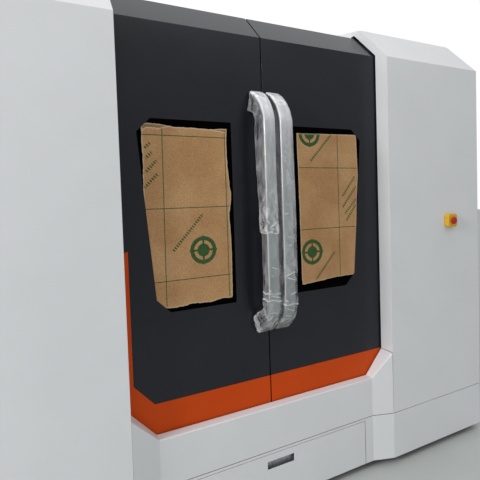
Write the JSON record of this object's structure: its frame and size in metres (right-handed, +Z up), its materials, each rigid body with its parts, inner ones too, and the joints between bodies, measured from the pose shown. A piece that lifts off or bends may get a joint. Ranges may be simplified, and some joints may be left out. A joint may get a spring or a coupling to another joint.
{
  "type": "enclosed laser cutting machine",
  "caption": "Enclosed gantry laser cutting machine: bevelled sheet-metal front, double sliding doors with papered windows and film-wrapped bow handles, scrap drawer below.",
  "frame": {"origin": "on the floor under the middle of the machine's box", "axes": "+X to the right when facing the doors, -Y out of the doors towards the operator, +Z up"},
  "size_m": [2.7, 2.1, 2.4398],
  "materials": {
    "white_paint": "satin powder coat",
    "dark_paint": "gloss",
    "orange_paint": "gloss",
    "dark_acrylic": "polished",
    "kraft_paper": "matt",
    "wrapping_film": "clear crinkled film",
    "bare_aluminium": "satin",
    "ground_steel": "ground",
    "machine_paint": "matt",
    "zinc_sheet": "zinc coated",
    "black_paint": "satin",
    "brass": "turned",
    "red_plastic": "satin",
    "yellow_plastic": "satin"
  },
  "bodies": {
    "base": {"bed_frame": "machine_paint", "foot_front_left": "black_paint", "foot_front_right": "black_paint", "foot_rear_left": "black_paint", "foot_rear_right": "black_paint", "guide_rail_left": "ground_steel", "guide_rail_right": "ground_steel", "gear_rack_left": "ground_steel", "gear_rack_right": "ground_steel", "front_casing_left": "white_paint", "front_casing_right": "white_paint", "side_wall_left": "white_paint", "side_wall_right": "white_paint", "slat_table": "zinc_sheet", "sill_panel": "white_paint", "kick_panel": "white_paint", "roof_panel": "white_paint", "rear_wall": "white_paint", "exhaust_collar": "zinc_sheet", "door_track": "zinc_sheet", "door_guide": "zinc_sheet", "laser_source": "black_paint", "drive_panel": "zinc_sheet", "stop_housing": "yellow_plastic"},
    "stop_button": {"stop_button": "red_plastic"},
    "door_left": {"door_skin_left": "dark_paint", "door_trim_left": "orange_paint", "door_frame_left": "zinc_sheet", "window_pane_left": "dark_acrylic", "masking_paper_left": "kraft_paper", "door_handle_left": "bare_aluminium", "handle_film_left": "wrapping_film"},
    "door_right": {"door_skin_right": "dark_paint", "door_trim_right": "orange_paint", "door_frame_right": "zinc_sheet", "window_pane_right": "dark_acrylic", "masking_paper_right": "kraft_paper", "door_handle_right": "bare_aluminium", "handle_film_right": "wrapping_film"},
    "gantry": {"gantry_beam": "bare_aluminium", "beam_rail_lower": "ground_steel", "beam_rail_upper": "ground_steel", "beam_rack": "ground_steel", "beam_end_left": "bare_aluminium", "beam_end_right": "bare_aluminium", "gantry_motor_left": "black_paint", "gantry_motor_right": "black_paint"},
    "gantry_pinion_left": {"gantry_pinion_left": "ground_steel"},
    "gantry_pinion_right": {"gantry_pinion_right": "ground_steel"},
    "carriage": {"carriage_plate": "bare_aluminium", "carriage_motor": "black_paint", "lift_motor": "black_paint"},
    "carriage_pinion": {"carriage_pinion": "ground_steel"},
    "lift_screw": {"lift_screw": "ground_steel"},
    "head": {"lift_plate": "bare_aluminium", "laser_head": "black_paint", "nozzle": "brass"},
    "drawer": {"scrap_tray": "zinc_sheet", "drawer_front": "white_paint"},
    "service_door": {"service_door": "white_paint"}
  },
  "joints": [
    {"name": "door_left_slide", "type": "slide", "parent": "base", "child": "door_left", "axis": [-1, 0, 0], "range_m": [0, 0.55]},
    {"name": "door_right_slide", "type": "slide", "parent": "base", "child": "door_right", "axis": [1, 0, 0], "range_m": [0, 0.55]},
    {"name": "stop_press", "type": "slide", "parent": "base", "child": "stop_button", "axis": [0, 1, 0], "range_m": [0, 0.004], "stiffness_N_per_m": 600, "springref_m": -0.002},
    {"name": "gantry_travel", "type": "slide", "parent": "base", "child": "gantry", "axis": [0, 1, 0], "range_m": [-0.5, 0.4]},
    {"name": "gantry_pinion_left_spin", "type": "hinge", "parent": "gantry", "child": "gantry_pinion_left", "pos_m": [-0.8317, 0.2563, 0.87], "axis": [0, 0, 1], "continuous": true},
    {"name": "gantry_pinion_right_spin", "type": "hinge", "parent": "gantry", "child": "gantry_pinion_right", "pos_m": [0.8317, 0.2563, 0.87], "axis": [0, 0, 1], "continuous": true},
    {"name": "carriage_travel", "type": "slide", "parent": "gantry", "child": "carriage", "axis": [1, 0, 0], "range_m": [-0.78, 0.38]},
    {"name": "carriage_pinion_spin", "type": "hinge", "parent": "carriage", "child": "carriage_pinion", "pos_m": [0.125, 0.04, 1.0032], "axis": [0, 1, 0], "continuous": true},
    {"name": "head_lift", "type": "slide", "parent": "carriage", "child": "head", "axis": [0, 0, 1], "range_m": [-0.11, 0.008]},
    {"name": "lift_screw_spin", "type": "hinge", "parent": "carriage", "child": "lift_screw", "pos_m": [0.25, 0.0037, 1.08], "axis": [0, 0, 1], "continuous": true},
    {"name": "drawer_slide", "type": "slide", "parent": "base", "child": "drawer", "axis": [0, -1, 0], "range_m": [0, 0.9]},
    {"name": "service_door_hinge", "type": "hinge", "parent": "base", "child": "service_door", "pos_m": [0.1, 1.044, 1.05], "axis": [0, 0, 1], "range_deg": [0, 110]}
  ],
  "couplings": [
    {"joint": "gantry_pinion_left_spin", "follows": "gantry_travel", "rad_per_m": 49.261},
    {"joint": "gantry_pinion_right_spin", "follows": "gantry_travel", "rad_per_m": -49.261},
    {"joint": "carriage_pinion_spin", "follows": "carriage_travel", "rad_per_m": 49.261},
    {"joint": "lift_screw_spin", "follows": "head_lift", "rad_per_m": -628.32}
  ]
}
